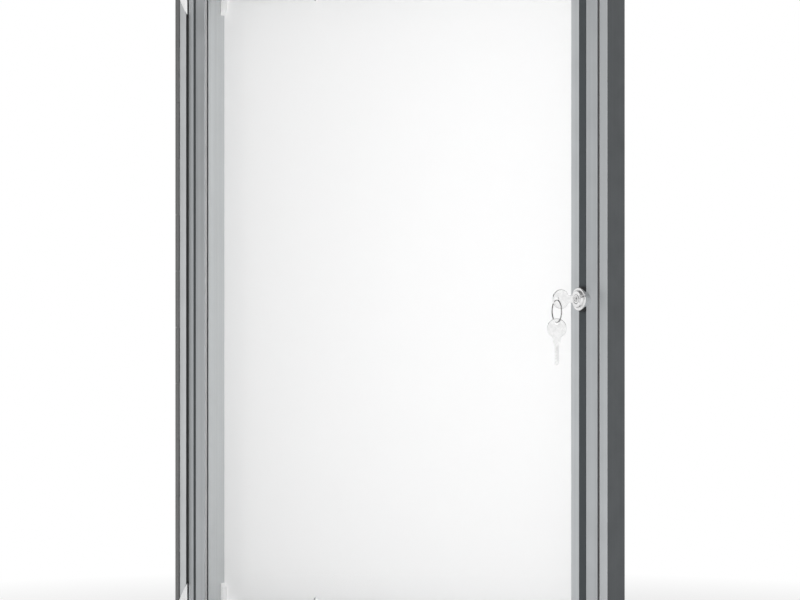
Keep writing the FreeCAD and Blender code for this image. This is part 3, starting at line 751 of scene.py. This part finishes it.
def replace_by_rows(node, mesh, rows):
    """Replaces a node by rows of one mesh, each a count, a first place and a step in millimetres."""
    material = finishes[node]
    sample = new_piece(node + "_sample", mesh, material)
    piece = new_piece(node + "_finished", bpy.data.meshes.new(node + "_finished"), material)
    identifiers = {}
    for item in row_of_pieces.interface.items_tree:
        if item.in_out == "INPUT":
            identifiers[item.name] = item.identifier
    for count, start, step in rows:
        row = piece.modifiers.new("row", "NODES")
        row.node_group = row_of_pieces
        row[identifiers["Piece"]] = sample
        row[identifiers["Count"]] = count
        row[identifiers["Start"]] = tuple(value * mm for value in start)
        row[identifiers["Step"]] = tuple(value * mm for value in step)
        row[identifiers["Material"]] = material
    bake(piece)
    bpy.data.objects.remove(sample)
    stands_for(piece, node)


def rivet_mesh(grip):
    """A blind rivet that grips two sheets, its domed head to the left of its seat, in millimetres."""
    tail_length = 0.8
    tail = -grip - tail_length
    profile = [
        (0, tail), (1.4, tail), (2.05, tail + 0.15), (2.25, tail + 0.5), (2.25, -grip), (1.5, -grip),
        (1.5, 0), (3.0, 0), (2.96, 0.2), (2.7, 0.42), (2.2, 0.61), (1.6, 0.73), (1.05, 0.79),
        (0.9, 0.76), (0.85, 0.68), (0.82, 0.3), (0, 0.3),
    ]
    mesh = turned("rivet", profile, sides=32)
    mesh.transform(Matrix.Rotation(math.radians(-90.0), 4, "Y"))
    return mesh


def add_rivets():
    """A row of rivets up each leaf of the hinge, with places and grips in millimetres."""
    count = 8
    for node, reach, seat, depth, grip in (
        ("case_rivets", 275.6, -251.2, 12.0, 2.8),
        ("door_rivets", 259.26, -242.8, 22.4, 4.8),
    ):
        step = 2 * reach / (count - 1)
        replace_by_rows(node, rivet_mesh(grip), [(count, (seat, -depth, -reach), (0, 0, step))])


def cross_cutter():
    """A cross that narrows with its depth, which a screwdriver fits."""
    arm = 1.4
    half = 0.3
    above = 0.5
    below = 0.95
    narrowing = 0.45
    outline = [
        (half, half), (half, arm), (-half, arm), (-half, half), (-arm, half), (-arm, -half),
        (-half, -half), (-half, -arm), (half, -arm), (half, -half), (arm, -half), (arm, half),
    ]
    top = [Vector((x, y, above)) * mm for x, y in outline]
    bottom = [Vector((x * narrowing, y * narrowing, -below)) * mm for x, y in outline]
    count = len(outline)
    faces = [list(range(count)), list(range(2 * count - 1, count - 1, -1))]
    for step in range(count):
        after = (step + 1) % count
        faces.append([step, step + count, after + count, after])
    mesh = bpy.data.meshes.new("cross_cutter")
    mesh.from_pydata(top + bottom, [], faces)
    return new_piece("cross_cutter", mesh, zinc_steel)


def screw_mesh():
    """One countersunk screw from behind, with a thread and a cross in its head."""
    thread = threaded(radius=1.43, depth=0.22, low=-6.6, high=-1.8, pitch=0.6)
    head = [(1.4, -1.5), (1.45, -1.3), (2.62, -0.12), (2.62, -0.05), (2.52, 0), (0, 0)]
    profile = [(0, -7.5), (0.35, -7.2)] + thread + head
    piece = new_piece("screw", turned("screw", profile, sides=32), zinc_steel)
    cutter = cross_cutter()
    cut = piece.modifiers.new("cross", "BOOLEAN")
    cut.operation = "DIFFERENCE"
    cut.solver = "EXACT"
    cut.object = cutter
    bake(piece)
    mesh = piece.data
    mesh.transform(Matrix.Rotation(math.radians(-90.0), 4, "X"))
    for used in (cutter, piece):
        bpy.data.objects.remove(used)
    return mesh


def add_panel_screws():
    """Four screws up each side of the rear panel and three along its top and bottom, in millimetres."""
    side_count = 4
    side_place = 218.8
    side_reach = 267.0
    end_count = 3
    end_place = 305.8
    end_reach = 180.0
    step_up = (0, 0, 2 * side_reach / (side_count - 1))
    step_along = (2 * end_reach / (end_count - 1), 0, 0)
    rows = []
    for side in (-1, 1):
        rows.append((side_count, (side * side_place, 0, -side_reach), step_up))
        rows.append((end_count, (-end_reach, 0, side * end_place), step_along))
    replace_by_rows("panel_screws", screw_mesh(), rows)


def add_lock_body():
    """Threaded barrel, flange with a rounded rim, and a collar with a dish round the plug."""
    thread = threaded(radius=4.98, depth=0.3, low=-17.27, high=-6.5, pitch=0.75)
    flange = [
        (4.98, -6.0), (4.98, 0), (10.2, 0), (10.4, 0.1), (10.5, 0.3), (10.5, 0.75), (10.4, 1.05),
        (10.15, 1.28), (9.8, 1.38), (9.4, 1.4), (8.5, 1.4), (8.25, 1.33), (8.15, 1.15),
    ]
    collar = [
        (7.98, 1.15), (7.92, 1.7), (7.6, 3.0), (7.5, 3.25), (7.3, 3.47), (7.0, 3.57), (6.6, 3.6),
    ]
    dish = [(4.75, 3.6), (4.55, 3.56), (4.4, 3.45), (4.0, 2.9), (3.7, 2.8), (3.55, 2.7)]
    profile = [(3.55, -17.57), (4.7, -17.57)] + thread + flange + collar + dish
    mesh = turned("lock_body_finished", profile, sides=96, closed=True)
    mesh.transform(lock_frame)
    stands_for(new_piece("lock_body_finished", mesh, finishes["lock_body"]), "lock_body")


def add_split_ring():
    """Two turns of thin wire side by side, as a key ring is wound."""
    wire_radius = 0.31 * mm
    aside = 0.33 * mm
    first_end = math.radians(20.0)
    crossing_start = 0.88
    crossing_length = 0.24
    crease = math.radians(50.0)
    steps = 96
    sides = 10
    points = []
    faces = []
    for step in range(2 * steps + 1):
        turn = 2 * math.pi * step / steps + first_end
        crossed = min(1.0, max(0.0, (step / steps - crossing_start) / crossing_length))
        shift = aside * (2 * crossed * crossed * (3 - 2 * crossed) - 1)
        radial = ring_across * math.cos(turn) + upwards * math.sin(turn)
        middle = ring_centre + radial * ring_radius + ring_normal * shift
        for side in range(sides):
            angle = 2 * math.pi * side / sides
            outwards = radial * math.cos(angle) + ring_normal * math.sin(angle)
            points.append(middle + outwards * wire_radius)
    for step in range(2 * steps):
        for side in range(sides):
            after = (side + 1) % sides
            near = step * sides
            far = near + sides
            faces.append([near + side, near + after, far + after, far + side])
    last = 2 * steps * sides
    faces.append(list(range(sides - 1, -1, -1)))
    faces.append([last + side for side in range(sides)])
    mesh = bpy.data.meshes.new("key_ring_finished")
    mesh.from_pydata(points, [], faces)
    mesh.shade_smooth()
    mesh.set_sharp_from_angle(angle=crease)
    checked = bmesh.new()
    checked.from_mesh(mesh)
    bmesh.ops.recalc_face_normals(checked, faces=checked.faces)
    checked.to_mesh(mesh)
    checked.free()
    stands_for(new_piece("key_ring_finished", mesh, finishes["key_ring"]), "key_ring")


add_rivets()
add_panel_screws()
add_lock_body()
add_split_ring()

for node, material in finishes.items():
    if node not in replaced:
        data = frame["nodes"][node].data
        data.materials.clear()
        data.materials.append(material)


# Studio: white all round, but what metal and glass mirror holds a grey screen in front of the board,
# a dim ceiling and, between the two, a dark band

screen_direction = (-0.242, -0.970, 0.0)
screen_tone = 0.22
ceiling_tone = 0.3
band_height = 0.42
band_half_width = 0.09
band_tone = 0.02


def add_floor():
    """A pale floor that keeps the shadow and, where it is seen, goes to white away from the board."""
    reach = 14.0
    near = 0.5
    far = 0.95
    near_glow = 0.6
    low = solid_bounds[0][2]
    mesh = bpy.data.meshes.new("studio_floor")
    corners = [(-reach, -reach, low), (reach, -reach, low), (reach, reach, low), (-reach, reach, low)]
    mesh.from_pydata(corners, [], [(0, 1, 2, 3)])
    material, tree, shader, place = new_material("studio_floor", Base_Color=grey(236), Roughness=0.9)
    span = add_node(tree, "ShaderNodeVectorMath", operation="LENGTH")
    tree.links.new(place, span.inputs[0])
    away = ranged(tree, span.outputs["Value"], near, far, near_glow, 1.0)
    seen = ray_mask(tree, "Is Camera Ray", "Is Glossy Ray", "Is Transmission Ray")
    glow = add_node(tree, "ShaderNodeEmission", {"Color": white, "Strength": 1.0})
    share = calculated(tree, "MULTIPLY", seen, away)
    mix_on_surface(tree, share, shader.outputs["BSDF"], glow.outputs["Emission"])
    new_piece("studio_floor", mesh, material)


def add_world(strength):
    """White where it is seen, the mirrored room for metal and glass, and plain light for all else."""
    world = bpy.data.worlds.new("studio")
    world.use_nodes = True
    bpy.context.scene.world = world
    tree = world.node_tree
    background = tree.nodes["Background"]
    background.inputs["Color"].default_value = white
    place = add_node(tree, "ShaderNodeTexCoord")
    towards = add_node(
        tree, "ShaderNodeVectorMath", {1: screen_direction}, operation="DOT_PRODUCT"
    )
    split = add_node(tree, "ShaderNodeSeparateXYZ")
    tree.links.new(place.outputs["Generated"], towards.inputs[0])
    tree.links.new(place.outputs["Generated"], split.inputs["Vector"])
    height = split.outputs["Z"]
    in_band = calculated(tree, "COMPARE", height, band_height, band_half_width)
    screen = ranged(tree, towards.outputs["Value"], start=0.93, end=0.98, low=1.0, high=screen_tone)
    ceiling = ranged(tree, height, start=0.55, end=0.75, low=1.0, high=ceiling_tone)
    band = ranged(tree, in_band, start=0.0, end=1.0, low=1.0, high=band_tone)
    room = calculated(tree, "MULTIPLY", calculated(tree, "MULTIPLY", screen, ceiling), band)
    light = chosen(tree, ray_mask(tree, "Is Glossy Ray"), strength, room)
    seen = ray_mask(tree, "Is Camera Ray", "Is Transmission Ray")
    tree.links.new(chosen(tree, seen, light, 1.0), background.inputs["Strength"])


def add_lamp(name, place, width, height, power):
    """A soft lamp that looks at the middle of the board, unseen by the camera, metal and glass."""
    lamp = bpy.data.lights.new(name, "AREA")
    lamp.shape = "RECTANGLE"
    lamp.size = width
    lamp.size_y = height
    lamp.energy = power
    thing = bpy.data.objects.new(name, lamp)
    bpy.context.scene.collection.objects.link(thing)
    thing.location = place
    thing.rotation_euler = (-Vector(place)).to_track_quat("-Z", "Y").to_euler()
    thing.visible_glossy = False
    thing.visible_camera = False
    thing.visible_transmission = False


def add_camera(place, turn, focal_length):
    """The camera of the photograph: to the right, far away, with a narrow view."""
    lens = bpy.data.cameras.new("camera")
    lens.lens = focal_length
    lens.sensor_width = 36.0
    lens.clip_end = 60.0
    thing = bpy.data.objects.new("camera", lens)
    bpy.context.scene.collection.objects.link(thing)
    thing.location = place
    thing.rotation_euler = (math.radians(90.0), 0.0, turn)
    bpy.context.scene.camera = thing


add_floor()
add_world(strength=0.48)
add_lamp("lamp_right", place=(0.24, -0.75, 0.0), width=0.3, height=1.2, power=5.2)
add_camera(place=(1.6831, -2.3103, -0.0008), turn=math.radians(36.101), focal_length=134.93)
bpy.context.scene.view_settings.view_transform = "Standard"
